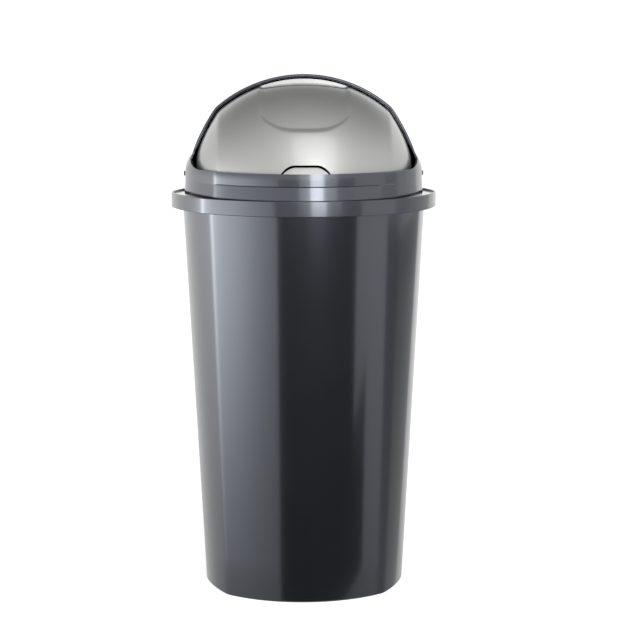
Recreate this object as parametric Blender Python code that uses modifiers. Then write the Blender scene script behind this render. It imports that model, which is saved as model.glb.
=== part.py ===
"""Swing lid bin: a tapered bucket with a banded rim, a lid hood, and a flap that rolls back inside it.

The origin is the centre of the base, +Z is up and the flap faces -Y. The hood and the flap are
turned about the pivot axis, which runs along X through the two pins.
"""
import bpy
import bmesh
from math import acos, asin, atan2, copysign, cos, hypot, pi, radians, sin, sqrt
from mathutils import Matrix, Vector

# Plan of the bucket's top, to its sharp corners before they are rounded
TOP_HALF_WIDTH = 0.1772
TOP_DEPTH = 0.1463
TOP_CREASE_X = 0.1330
TOP_CREASE_Y = 0.0973

# How far the plan draws in from there to the base
TAPER_SIDE = 0.0291
TAPER_FRONT = 0.0208
TAPER_CREASE_X = 0.0186
TAPER_CREASE_Y = 0.0106

# Curves that every plan shares
SIDE_ARC_RADIUS = 0.220
CREASE_ROUND = 0.0050
SIDE_CORNER_ROUND = 0.0140

# Bucket: heights, walls and foot
SHELF_HEIGHT = 0.5680
BODY_WALL = 0.0025
FLOOR_THICKNESS = 0.0030
FOOT_WIDTH = 0.0080
FOOT_BEVEL = 0.0020
BASE_RISE = 0.0050
MOUTH_BEVEL = 0.0008

# Rim band round the bucket, wider at the sides where it is the grip
RIM_OVERHANG_SIDE = 0.0168
RIM_OVERHANG_FRONT = 0.0079
RIM_CREASE_OUT = 0.0111
RIM_CREASE_FORWARD = 0.0038
RIM_WALL = 0.0025
RIM_ABOVE_SHELF = 0.0142
RIM_BELOW_SHELF = 0.0075
RIM_EDGE_ROUND = 0.0008

# Lid hood: its plan sits inside the bucket's, and its dome is that plan turned about the axis
HOOD_INSET_SIDE = 0.0069
HOOD_INSET_FRONT = 0.0039
HOOD_INSET_CREASE_X = 0.0052
HOOD_INSET_CREASE_Y = 0.0029
HOOD_SIDE_FLATTER = 0.0550
COLLAR_SPREAD = 0.0037
SHOULDER_LOW = 0.0180
SHOULDER_RISE = 0.0160
AXIS_ABOVE_SHELF = 0.0406
HOOD_WALL = 0.0025
HOOD_FLARE = 0.0010
COLLAR_ABOVE_AXIS = 0.0100
COLLAR_STEP_BELOW_AXIS = 0.0071
COLLAR_STEP_BEVEL = 0.0012
FRONT_BAND_PROUD = 0.0021
OPENING_CORNER_RADIUS = 0.0600
ARCH_BEAD_EXTRA = 0.0020
ARCH_BEAD_WIDTH = 0.0050
BEAD_MOST_SHARE = 0.5
BEAD_RISE_SHARE = 0.5

# Seat of the lid on the bucket: a brim that fills the rim band's channel, with a skirt down to the
# shelf at its edge, and a plug inside the mouth
BRIM_BELOW_RIM = 0.0025
BRIM_WALL = 0.0025
BRIM_CLEARANCE = 0.0010
PLUG_DEPTH = 0.0120
PLUG_CLEARANCE = 0.0010
SEAT_GAP = 0.0003

# Swing flap
FLAP_WALL = 0.0022
FLAP_GAP = 0.0021
FLAP_EAR_INSET = 0.0173
FLAP_EAR_ROUND = 0.0040
FLAP_LOW_ANGLE = radians(-2)
FLAP_ARCH_ANGLE = radians(90)
FLAP_TRAVEL = radians(80)

# Push recess at the top of the flap
RECESS_HALF_WIDTH = 0.0660
RECESS_WALL_WIDTH = 0.0100
RECESS_DEPTH_AT_ARCH = 0.0060
RECESS_SIDE_DEPTH_AT_ARCH = 0.0033
RECESS_DEPTH_AT_LIP = 0.0030
RECESS_EDGE_STRIP = 0.0034
RECESS_BACK_DRAFT = 0.0010
RECESS_LIP_ANGLE = radians(28.5)
RECESS_LIP_WIDTH_ANGLE = radians(4.5)
RECESS_LIP_CLIMB_ANGLE = radians(16)
RECESS_LIP_POWER = 3.2

# Finger pull at the flap's lower edge: a D-shaped cut with a tongue leaning back behind it
PULL_HALF_WIDTH = 0.0345
PULL_SHOULDER_X = 0.0255
PULL_TOP_HALF_WIDTH = 0.0150
PULL_HEIGHT = 0.0117
PULL_BELOW_COLLAR = 0.0066
PULL_SLOT = 0.0033
TONGUE_LEAN = 0.0060
TONGUE_WALL = 0.0022
TONGUE_SET_BACK = 0.0010
TONGUE_ROOT = 0.0040

# Pivots: bosses on hood and flap, and one push-in pin through each pair
PIN_RADIUS = 0.0027
PIN_HEAD_RADIUS = 0.0038
PIN_HEAD_HEIGHT = 0.0014
PIN_HEAD_EDGE = 0.0004
PIN_HEAD_SHOULDER_SHARE = 0.9
PIN_TIP_RADIUS = 0.0035
PIN_TIP_LENGTH = 0.0040
PIN_CLEARANCE = 0.0003
HOOD_BOSS_RADIUS = 0.0080
EAR_BOSS_RADIUS = 0.0090
EAR_BOSS_OUT = 0.0010
EAR_BOSS_IN = 0.0020
SIDE_PLAY = 0.0010

# Ribs in the hood that stop the flap at each end of its travel
STOP_X = 0.0300
STOP_LENGTH = 0.0060
STOP_THICKNESS = 0.0020
STOP_REACH = 0.0075
STOP_GAP = 0.0005

# One overrun for every cut, and how near two points or two angles must be to count as one
OVERRUN = 0.0040
MERGE_DISTANCE = 0.00001
ANGLE_MATCH = radians(0.01)

# Steps along the curves
FRONT_STEPS = 10
CREASE_STEPS = 2
SIDE_STEPS = 5
CORNER_STEPS = 2
DOME_STEPS = 14
COLLAR_STEPS = 4
FLAP_LOWER_STEPS = 6
FLAP_LIP_STEPS = 3
FLAP_FLOOR_STEPS = 8
EAR_STEPS = 3
PULL_STEPS = 12
SHOULDER_STEPS = 6
ROUND_STEPS = 24

# Heights and plans that follow from the sizes above
AXIS_HEIGHT = SHELF_HEIGHT + AXIS_ABOVE_SHELF
SHELF_BELOW_AXIS = -AXIS_ABOVE_SHELF
BRIM_TOP = SHELF_BELOW_AXIS + RIM_ABOVE_SHELF - BRIM_BELOW_RIM
BODY_TOP = (TOP_HALF_WIDTH, TOP_DEPTH, TOP_CREASE_X, TOP_CREASE_Y, SIDE_ARC_RADIUS)


def resized_plan(plan, side, front, crease_x, crease_y, flatter=0):
    """A plan whose half width, depth, crease and side radius are each enlarged by the amounts given."""
    return (plan[0] + side, plan[1] + front, plan[2] + crease_x, plan[3] + crease_y, plan[4] + flatter)


BODY_BASE = resized_plan(BODY_TOP, -TAPER_SIDE, -TAPER_FRONT, -TAPER_CREASE_X, -TAPER_CREASE_Y)
RIM = resized_plan(BODY_TOP, RIM_OVERHANG_SIDE, RIM_OVERHANG_FRONT, RIM_CREASE_OUT, RIM_CREASE_FORWARD)
HOOD = resized_plan(BODY_TOP, -HOOD_INSET_SIDE, -HOOD_INSET_FRONT, -HOOD_INSET_CREASE_X, -HOOD_INSET_CREASE_Y,
                    HOOD_SIDE_FLATTER)
FRONT_BAND = resized_plan(HOOD, 0, FRONT_BAND_PROUD, 0, 0)

# Colours as red, green, blue, then roughness and metallic value
DARK_PLASTIC = ((0.105, 0.118, 0.145), 0.32, 0.45)
SILVER_PLASTIC = ((0.60, 0.60, 0.585), 0.38, 0.60)
PIN_PLASTIC = ((0.04, 0.042, 0.048), 0.45, 0.0)


def blend(start, end, share):
    """The value that lies the given share of the way from start to end."""
    return start + (end - start) * share


def smooth(share):
    """An S-shaped ease from 0 to 1."""
    clear = min(max(share, 0), 1)
    return clear * clear * (3 - 2 * clear)


def corner_curve(start, corner, end, steps, share=1):
    """Points after start, up to the given share of a curve that rounds the corner."""
    points = []
    for step in range(1, steps + 1):
        t = share * step / steps
        weights = ((1 - t) ** 2, 2 * t * (1 - t), t ** 2)
        points.append(tuple(weights[0] * a + weights[1] * b + weights[2] * c
                            for a, b, c in zip(start, corner, end)))
    return points


def front_radius(plan):
    """Radius of the front arc, which passes through both creases."""
    rise = plan[1] - plan[3]
    return (plan[2] ** 2 + rise ** 2) / (2 * rise)


def front_arc(plan, angles):
    """Points on the front arc at the given angles from the middle."""
    radius = front_radius(plan)
    return [(radius * sin(angle), plan[1] - radius + radius * cos(angle)) for angle in angles]


def front_end_angle(plan):
    """Angle at which the front arc stops, just short of the crease."""
    radius = front_radius(plan)
    return asin(plan[2] / radius) - CREASE_ROUND / radius


def side_arc(plan):
    """Points on the flatter arc from the crease to the middle of the side, trimmed for its rounded ends."""
    crease = Vector((plan[2], plan[3]))
    corner = Vector((plan[0], 0))
    chord = corner - crease
    inward = Vector((chord.y, -chord.x)).normalized()
    radius = plan[4]
    centre = (crease + corner) / 2 + inward * sqrt(radius ** 2 - (chord.length / 2) ** 2)
    start = atan2(crease.y - centre.y, crease.x - centre.x) - CREASE_ROUND / radius
    end = atan2(corner.y - centre.y, corner.x - centre.x) + SIDE_CORNER_ROUND / radius
    angles = [blend(start, end, step / SIDE_STEPS) for step in range(SIDE_STEPS + 1)]
    return [(centre.x + radius * cos(angle), centre.y + radius * sin(angle))
            for angle in angles]


def quarter_outline(plan, front_angles=None):
    """A quarter of a plan, from the middle of its front to the middle of its side."""
    if front_angles is None:
        end = front_end_angle(plan)
        front_angles = [end * step / FRONT_STEPS for step in range(FRONT_STEPS + 1)]
    front = front_arc(plan, front_angles)
    side = side_arc(plan)
    crease = corner_curve(front[-1], (plan[2], plan[3]), side[0], CREASE_STEPS)
    mirrored = (side[-1][0], -side[-1][1])
    corner = corner_curve(side[-1], (plan[0], 0), mirrored, CORNER_STEPS, 0.5)
    return front + crease + side[1:] + corner


def offset_outline(points, distance):
    """A quarter outline moved outwards by a distance that may differ from point to point."""
    moved = []
    for index, point in enumerate(points):
        here = Vector(point)
        before = Vector(points[index - 1]) if index > 0 else Vector((-points[1][0], points[1][1]))
        last = index == len(points) - 1
        after = Vector((points[-2][0], -points[-2][1])) if last else Vector(points[index + 1])
        first_side, second_side = (here - before).normalized(), (after - here).normalized()
        normal = Vector((-first_side.y - second_side.y, first_side.x + second_side.x))
        normal = normal / (1 + first_side.dot(second_side))
        step = distance[index] if isinstance(distance, list) else distance
        moved.append((here.x + normal.x * step, here.y + normal.y * step))
    moved[0] = (0, moved[0][1])
    moved[-1] = (moved[-1][0], 0)
    return moved


def mix_outlines(first, second, share):
    """The outline that lies the given share of the way from one outline to another."""
    return [(blend(a[0], b[0], share), blend(a[1], b[1], share)) for a, b in zip(first, second)]


def across(quarter):
    """Half an outline, from the left side round the front to the right side."""
    return [(-x, y) for x, y in reversed(quarter)] + list(quarter[1:])


class Skin:
    """Collects faces for one mesh, sharing each corner that several faces use."""

    def __init__(self):
        self.points = []
        self.faces = []
        self.known = {}

    def corner(self, point):
        key = tuple(round(value, 7) for value in point)
        if key not in self.known:
            self.known[key] = len(self.points)
            self.points.append(key)
        return self.known[key]

    def face(self, points):
        corners = []
        for point in points:
            corner = self.corner(point)
            if corner not in corners:
                corners.append(corner)
        if len(corners) > 2:
            self.faces.append(corners)

    def rows(self, rows):
        """Joins rows of points that each run the same way; the faces look up from left to right."""
        for low, high in zip(rows, rows[1:]):
            for index in range(len(low) - 1):
                self.face((low[index], low[index + 1], high[index + 1], high[index]))

    def mesh(self, name):
        mesh = bpy.data.meshes.new(name)
        mesh.from_pydata(self.points, [], self.faces)
        edited = bmesh.new()
        edited.from_mesh(mesh)
        bmesh.ops.recalc_face_normals(edited, faces=edited.faces)
        edited.to_mesh(mesh)
        edited.free()
        return mesh


def material(name, finish):
    """A Principled BSDF material with the colour, roughness and metallic value of one part."""
    colour, roughness, metallic = finish
    made = bpy.data.materials.new(name)
    made.use_nodes = True
    shader = made.node_tree.nodes["Principled BSDF"]
    shader.inputs["Base Color"].default_value = (*colour, 1)
    shader.inputs["Roughness"].default_value = roughness
    shader.inputs["Metallic"].default_value = metallic
    return made


def add_object(name, mesh, collection, finish=None, location=(0, 0, 0)):
    """Links a mesh as a named object with its own material."""
    made = bpy.data.objects.new(name, mesh)
    made.location = location
    collection.objects.link(made)
    if finish:
        mesh.materials.append(material(name, finish))
        mesh.shade_smooth()
        mesh.set_sharp_from_angle(angle=radians(30))
    return made


def add_tool(name, mesh, collection):
    """Links a mesh that only cuts or adds to a part; it shares the parts' pivot origin."""
    made = add_object(name, mesh, collection, location=(0, 0, AXIS_HEIGHT))
    made.hide_render = True
    made.display_type = "WIRE"
    return made


def boolean(target, operation, tool):
    """Adds a Boolean modifier to a part."""
    modifier = target.modifiers.new(tool.name, "BOOLEAN")
    modifier.operation = operation
    modifier.solver = "EXACT"
    modifier.object = tool


def mesh_from(name, build):
    """A mesh made by a function that fills a bmesh."""
    edited = bmesh.new()
    build(edited)
    mesh = bpy.data.meshes.new(name)
    edited.to_mesh(mesh)
    edited.free()
    return mesh


def spread(point):
    """A point of the hood, moved out sideways where it belongs to the collar, which is wider than the dome."""
    x, y, z = point
    out = smooth((abs(x) - HOOD[2]) / (HOOD[0] - HOOD[2])) * (1 - smooth((z - SHOULDER_LOW) / SHOULDER_RISE))
    return (x + copysign(COLLAR_SPREAD * out, x), y, z)


def side_face_x():
    """How far the hood's side stands from the middle, at the pivot axis."""
    return spread((quarter_outline(HOOD)[-1][0], 0, 0))[0]


def ear_x():
    """How far the outer face of each of the flap's ears stands from the middle."""
    return side_face_x() - FLAP_EAR_INSET


def radius_at(quarter, x):
    """The radius of a profile at the given distance from the middle."""
    return next(blend(a[1], b[1], (x - a[0]) / (b[0] - a[0])) for a, b in zip(quarter, quarter[1:]) if b[0] >= x)


def add_cylinder_x(edited, radius, x_from, x_to):
    """Adds a closed cylinder along the X axis to a bmesh."""
    turned = Matrix.Translation(((x_from + x_to) / 2, 0, 0)) @ Matrix.Rotation(pi / 2, 4, "Y")
    bmesh.ops.create_cone(edited, cap_ends=True, segments=ROUND_STEPS, radius1=radius, radius2=radius,
                          depth=abs(x_to - x_from), matrix=turned)


def ring(quarter, height):
    """A closed level row, whose last point repeats its first."""
    front = [(x, -y, height) for x, y in across(quarter)]
    back = [(x, y, height) for x, y in reversed(across(quarter))]
    return front + back[1:]


def bucket_skin():
    """The bucket's closed skin: foot, tapered wall, shelf, rim band, mouth, inner wall and floor."""
    top = quarter_outline(BODY_TOP)
    base = quarter_outline(BODY_BASE)
    rim = quarter_outline(RIM)
    rim_inner = offset_outline(rim, -RIM_WALL)
    mouth = offset_outline(top, -BODY_WALL)
    under_shelf = SHELF_HEIGHT - RIM_WALL
    rim_low = SHELF_HEIGHT - RIM_BELOW_SHELF
    rim_high = SHELF_HEIGHT + RIM_ABOVE_SHELF
    floor = BASE_RISE + FLOOR_THICKNESS
    floor_plan = offset_outline(mix_outlines(base, top, floor / SHELF_HEIGHT), -BODY_WALL)
    foot_inner = offset_outline(base, -FOOT_WIDTH)
    rows = [
        ring(offset_outline(foot_inner, -BASE_RISE), BASE_RISE),
        ring(foot_inner, 0),
        ring(offset_outline(base, -FOOT_BEVEL), 0),
        ring(mix_outlines(base, top, FOOT_BEVEL / SHELF_HEIGHT), FOOT_BEVEL),
        ring(top, under_shelf),
        ring(rim_inner, under_shelf),
        ring(rim_inner, rim_low),
        ring(rim, rim_low),
        ring(rim, rim_high - RIM_EDGE_ROUND),
        ring(offset_outline(rim, -RIM_EDGE_ROUND), rim_high),
        ring(rim_inner, rim_high),
        ring(rim_inner, SHELF_HEIGHT),
        ring(offset_outline(mouth, MOUTH_BEVEL), SHELF_HEIGHT),
        ring(mouth, SHELF_HEIGHT - MOUTH_BEVEL),
        ring(floor_plan, floor),
    ]
    skin = Skin()
    skin.rows(rows)
    skin.face(rows[0])
    skin.face(rows[-1])
    return skin


def make_bucket(parts):
    """The bin body, one moulding."""
    return add_object("bin_body", bucket_skin().mesh("bin_body"), parts, DARK_PLASTIC)


def opening_angles(radius):
    """Where a circle about the axis meets the opening: front angle, then back angle, both up from level.

    The opening lies above the collar's edge and in front of the arch, with one rounded corner between.
    """
    corner_y = OPENING_CORNER_RADIUS
    corner_z = COLLAR_ABOVE_AXIS + OPENING_CORNER_RADIUS
    reach = hypot(corner_y, corner_z)
    lean = atan2(corner_z, corner_y)
    spread = 0
    if reach - OPENING_CORNER_RADIUS < radius < reach + OPENING_CORNER_RADIUS:
        spread = acos((radius ** 2 + reach ** 2 - OPENING_CORNER_RADIUS ** 2) / (2 * radius * reach))
    front, back = lean - spread, pi - lean - spread
    if radius > hypot(COLLAR_ABOVE_AXIS, OPENING_CORNER_RADIUS):
        front = asin(COLLAR_ABOVE_AXIS / radius)
    if radius > corner_z:
        back = pi / 2
    return front, back


def level_row(profile, height, side):
    """A level row on the front (side -1) or the back (side 1) of the hood."""
    return [(x, side * radius, height) for x, radius in profile]


def turned_row(profile, angles, side):
    """A row of the dome: each point is turned about the axis, up from level, by its own angle."""
    return [(x, side * radius * cos(angle), radius * sin(angle))
            for (x, radius), angle in zip(profile, angles)]


def hood_outlines(side):
    """Quarter outlines of the front (side -1) or the back (side 1) of the hood, by name."""
    dome = quarter_outline(HOOD)
    band = quarter_outline(FRONT_BAND) if side < 0 else dome
    return {
        "dome": dome,
        "band": band,
        "foot": offset_outline(band, HOOD_FLARE),
        "plug": offset_outline(quarter_outline(BODY_TOP), -BODY_WALL - PLUG_CLEARANCE),
        "skirt": offset_outline(quarter_outline(RIM), -RIM_WALL - BRIM_CLEARANCE),
    }


def hood_rows(side, outlines, inset, ends, steps):
    """Rows of one skin of the hood on one side, from its foot up to the end angle of each column."""
    profiles = {name: across(offset_outline(outline, -inset)) for name, outline in outlines.items()}
    rows = [
        level_row(profiles["foot"], BRIM_TOP, side),
        level_row(profiles["band"], -COLLAR_STEP_BELOW_AXIS - COLLAR_STEP_BEVEL, side),
        level_row(profiles["dome"], -COLLAR_STEP_BELOW_AXIS, side),
    ]
    for step in range(steps + 1):
        rows.append(turned_row(profiles["dome"], [end * step / steps for end in ends], side))
    return rows


def bead_start(ends, radii, width):
    """The angle of each column at which a strip of the given width begins, just before its end angle."""
    return [end - min(width / max(radius, width), end * BEAD_MOST_SHARE) for end, radius in zip(ends, radii)]


def bead_rows(dome, ends, radii):
    """The last rows of the dome's inner skin, which stand inwards as a bead along the arch."""
    tip = hypot(OPENING_CORNER_RADIUS, COLLAR_ABOVE_AXIS + OPENING_CORNER_RADIUS) - OPENING_CORNER_RADIUS
    rise = tip * BEAD_RISE_SHARE
    thick = across(offset_outline(dome, [-HOOD_WALL - ARCH_BEAD_EXTRA * smooth((radius - tip) / rise)
                                         for _, radius in dome]))
    return [turned_row(thick, bead_start(ends, radii, ARCH_BEAD_WIDTH), 1), turned_row(thick, ends, 1)]


def seat_rows(side, outlines, inner_foot, outer_foot):
    """Rows from the inner skin down round the plug, the brim and its skirt and back up to the outer skin."""
    plug = across(outlines["plug"])
    plug_inner = across(offset_outline(outlines["plug"], -HOOD_WALL))
    skirt = across(outlines["skirt"])
    skirt_inner = across(offset_outline(outlines["skirt"], -BRIM_WALL))
    plug_low = SHELF_BELOW_AXIS - PLUG_DEPTH
    skirt_low = SHELF_BELOW_AXIS + SEAT_GAP
    return [
        inner_foot,
        level_row(plug_inner, BRIM_TOP, side),
        level_row(plug_inner, plug_low, side),
        level_row(plug, plug_low, side),
        level_row(plug, BRIM_TOP - BRIM_WALL, side),
        level_row(skirt_inner, BRIM_TOP - BRIM_WALL, side),
        level_row(skirt_inner, skirt_low, side),
        level_row(skirt, skirt_low, side),
        level_row(skirt, BRIM_TOP, side),
        outer_foot,
    ]


def hood_skin():
    """The hood's closed skin: collar, dome, arch, brim and the plug that enters the bucket's mouth."""
    skin = Skin()
    radii = [radius for _, radius in across(quarter_outline(HOOD))]
    meeting = [opening_angles(radius)[0] + opening_angles(radius)[1] >= pi - ANGLE_MATCH for radius in radii]
    first = meeting.index(False) - 1
    last = len(radii) - first
    for side, steps in ((-1, COLLAR_STEPS), (1, DOME_STEPS)):
        outlines = hood_outlines(side)
        ends = [opening_angles(radius)[(side + 1) // 2] for radius in radii]
        outer = hood_rows(side, outlines, 0, ends, steps)
        if side > 0:
            before_bead = bead_start(ends, radii, ARCH_BEAD_WIDTH + 2 * ARCH_BEAD_EXTRA)
            inner = hood_rows(side, outlines, HOOD_WALL, before_bead, steps)
            inner += bead_rows(outlines["dome"], ends, radii)
        else:
            inner = hood_rows(side, outlines, HOOD_WALL, ends, steps)
        outer, inner = ([[spread(point) for point in row] for row in rows] for rows in (outer, inner))
        skin.rows(outer)
        skin.rows(inner)
        skin.rows(seat_rows(side, outlines, inner[0], outer[0]))
        skin.rows([outer[-1][first:last], inner[-1][first:last]])
    return skin


def stop_ribs(edited):
    """Four ribs inside the hood, just past each end of the flap's travel."""
    outer = radius_at(quarter_outline(HOOD), STOP_X) - HOOD_WALL / 2
    middle = outer - STOP_REACH / 2
    clear = (STOP_THICKNESS / 2 + STOP_GAP) / middle
    for x in (-STOP_X, STOP_X):
        for angle in (FLAP_LOW_ANGLE - clear, FLAP_ARCH_ANGLE + FLAP_TRAVEL + clear):
            place = Matrix.Rotation(-angle, 4, "X") @ Matrix.Translation((x, -middle, 0))
            size = Matrix.Diagonal((STOP_LENGTH, STOP_REACH, STOP_THICKNESS, 1))
            bmesh.ops.create_cube(edited, size=1, matrix=place @ size)


def hood_bosses(edited):
    """A boss inside each end of the hood, out to the flap's ear."""
    wall_middle = side_face_x() - HOOD_WALL / 2
    for side in (-1, 1):
        add_cylinder_x(edited, HOOD_BOSS_RADIUS, side * (ear_x() + EAR_BOSS_OUT + SIDE_PLAY), side * wall_middle)


def pivot_holes(edited):
    """One bore at each end, through hood and flap alike."""
    for side in (-1, 1):
        add_cylinder_x(edited, PIN_RADIUS + PIN_CLEARANCE, side * (side_face_x() + OVERRUN),
                       side * (ear_x() - FLAP_WALL - EAR_BOSS_IN - OVERRUN))


def make_hood(parts, tools, holes):
    """The lid hood: collar and fixed rear dome, one moulding."""
    hood = add_object("lid_hood", hood_skin().mesh("lid_hood"), parts, DARK_PLASTIC, (0, 0, AXIS_HEIGHT))
    boolean(hood, "UNION", add_tool("hood_bosses", mesh_from("hood_bosses", hood_bosses), tools))
    boolean(hood, "UNION", add_tool("hood_stops", mesh_from("hood_stops", stop_ribs), tools))
    boolean(hood, "DIFFERENCE", holes)
    return hood


def flap_quarter():
    """The flap's quarter profile, from the middle to the pivot, with its front points on the recess."""
    radius = front_radius(HOOD)
    inset = HOOD_WALL + ARCH_BEAD_EXTRA + FLAP_GAP
    marks = [RECESS_HALF_WIDTH - RECESS_WALL_WIDTH, RECESS_HALF_WIDTH - RECESS_WALL_WIDTH / 2, RECESS_HALF_WIDTH]
    marks = [asin(mark / (radius - inset)) for mark in marks]
    floor = [marks[0] * step / FLAP_LOWER_STEPS for step in range(FLAP_LOWER_STEPS)]
    end = front_end_angle(HOOD)
    outer = [blend(marks[-1], end, step / EAR_STEPS) for step in range(1, EAR_STEPS + 1)]
    profile = offset_outline(quarter_outline(HOOD, floor + marks + outer), -inset)
    ear = ear_x()
    kept = [point for point in profile if point[0] < ear - FLAP_EAR_ROUND / 2]
    corner = (ear, radius_at(profile, ear))
    after = (ear, corner[1] - FLAP_EAR_ROUND)
    kept += corner_curve(kept[-1], corner, after, CREASE_STEPS)
    hub = EAR_BOSS_RADIUS / 2
    kept += [(ear, blend(after[1], hub, step / EAR_STEPS)) for step in range(1, EAR_STEPS + 1)]
    return kept


def lip_angle(x):
    """Angle of the recess's lower lip, which climbs towards its sides."""
    share = min(abs(x) / RECESS_HALF_WIDTH, 1)
    return RECESS_LIP_ANGLE + RECESS_LIP_CLIMB_ANGLE * share ** RECESS_LIP_POWER


def recess_depth(x, height_share):
    """Depth of the recess floor under the flap's own curve, from the lip (0) to the arch (1)."""
    inner = RECESS_HALF_WIDTH - RECESS_WALL_WIDTH
    wall = smooth((RECESS_HALF_WIDTH - abs(x)) / RECESS_WALL_WIDTH)
    sideways = min(abs(x) / inner, 1) ** 2
    at_arch = blend(RECESS_DEPTH_AT_ARCH, RECESS_SIDE_DEPTH_AT_ARCH, sideways)
    at_lip = RECESS_DEPTH_AT_LIP * at_arch / RECESS_DEPTH_AT_ARCH
    return wall * blend(at_lip, at_arch, height_share)


def flap_rows():
    """Rows of the flap's outer face, from its lower edge to the arch, with the recess pressed in."""
    profile = across(flap_quarter())
    strip = FLAP_ARCH_ANGLE - RECESS_EDGE_STRIP / HOOD[1]
    floor_end = strip - RECESS_BACK_DRAFT / HOOD[1]

    def row(angle_at, depth_at):
        points = []
        for x, radius in profile:
            angle = angle_at(x)
            pressed = radius - depth_at(x)
            points.append((x, -pressed * cos(angle), pressed * sin(angle)))
        return points

    def lip_end(x):
        return lip_angle(x) + RECESS_LIP_WIDTH_ANGLE

    rows = []
    for step in range(FLAP_LOWER_STEPS):
        share = step / FLAP_LOWER_STEPS
        rows.append(row(lambda x: blend(FLAP_LOW_ANGLE, lip_angle(x), share), lambda x: 0))
    for step in range(FLAP_LIP_STEPS):
        share = step / FLAP_LIP_STEPS
        rows.append(row(lambda x: lip_angle(x) + RECESS_LIP_WIDTH_ANGLE * share,
                        lambda x: recess_depth(x, 0) * smooth(share)))
    for step in range(FLAP_FLOOR_STEPS + 1):
        share = step / FLAP_FLOOR_STEPS
        rows.append(row(lambda x: blend(lip_end(x), floor_end, share), lambda x: recess_depth(x, share)))
    rows.append(row(lambda x: strip, lambda x: 0))
    rows.append(row(lambda x: FLAP_ARCH_ANGLE, lambda x: 0))
    return rows


def pull_edge(inset, root):
    """The right side of the D shape, from its root up to the end of its flat top, all drawn in by an inset."""
    low = (PULL_HALF_WIDTH - inset, COLLAR_ABOVE_AXIS)
    top = COLLAR_ABOVE_AXIS + PULL_HEIGHT - inset
    shoulder = (PULL_SHOULDER_X - inset, top)
    flat = (PULL_TOP_HALF_WIDTH - inset / 2, top)
    return [(low[0], root), low] + corner_curve(low, shoulder, flat, SHOULDER_STEPS)


def pull_cut():
    """A prism in the D shape, long enough to pass through the flap's front."""
    right = pull_edge(0, COLLAR_ABOVE_AXIS - PULL_BELOW_COLLAR)
    outline = right + [(-x, z) for x, z in reversed(right)]
    near = HOOD[1] + OVERRUN
    far = radius_at(flap_quarter(), PULL_HALF_WIDTH) - FLAP_WALL - OVERRUN
    front = [(x, -near, z) for x, z in outline]
    back = [(x, -far, z) for x, z in outline]
    skin = Skin()
    skin.rows([front + front[:1], back + back[:1]])
    skin.face(front)
    skin.face(back)
    return skin.mesh("pull_cut")


def tongue():
    """The tongue behind the D-shaped cut, curved like the flap and leaning back towards its top."""
    profile = flap_quarter()
    bend = COLLAR_ABOVE_AXIS - PULL_BELOW_COLLAR
    edge = pull_edge(PULL_SLOT, bend - TONGUE_ROOT)
    edge.insert(1, (edge[0][0], bend))
    top = edge[-1][1]
    front, back = [], []
    for wide, height in edge:
        lean = TONGUE_SET_BACK + TONGUE_LEAN * max(height - bend, 0) / (top - bend)
        places = [wide * (2 * step / PULL_STEPS - 1) for step in range(PULL_STEPS + 1)]
        for rows, depth in ((front, lean), (back, lean + TONGUE_WALL)):
            rows.append([(x, depth - radius_at(profile, abs(x)), height) for x in places])
    skin = Skin()
    skin.rows(front)
    skin.rows(back)
    skin.rows([front[0], back[0]])
    skin.rows([front[-1], back[-1]])
    for end in (0, -1):
        skin.rows([[row[end] for row in front], [row[end] for row in back]])
    return skin.mesh("pull_tongue")


def ear_bosses(edited):
    """A round boss on each ear of the flap, where the pin goes through."""
    for side in (-1, 1):
        add_cylinder_x(edited, EAR_BOSS_RADIUS, side * (ear_x() + EAR_BOSS_OUT),
                       side * (ear_x() - FLAP_WALL - EAR_BOSS_IN))


def make_flap(parts, tools, holes):
    """The swing flap: a visor with an ear at each end, a push recess and a finger pull."""
    skin = Skin()
    skin.rows(flap_rows())
    flap = add_object("swing_flap", skin.mesh("swing_flap"), parts, SILVER_PLASTIC, (0, 0, AXIS_HEIGHT))
    wall = flap.modifiers.new("wall", "SOLIDIFY")
    wall.thickness = FLAP_WALL
    wall.offset = -1
    wall.use_even_offset = True
    boolean(flap, "DIFFERENCE", add_tool("pull_cut", pull_cut(), tools))
    boolean(flap, "UNION", add_tool("pull_tongue", tongue(), tools))
    boolean(flap, "UNION", add_tool("ear_bosses", mesh_from("ear_bosses", ear_bosses), tools))
    boolean(flap, "DIFFERENCE", holes)
    return flap


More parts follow.
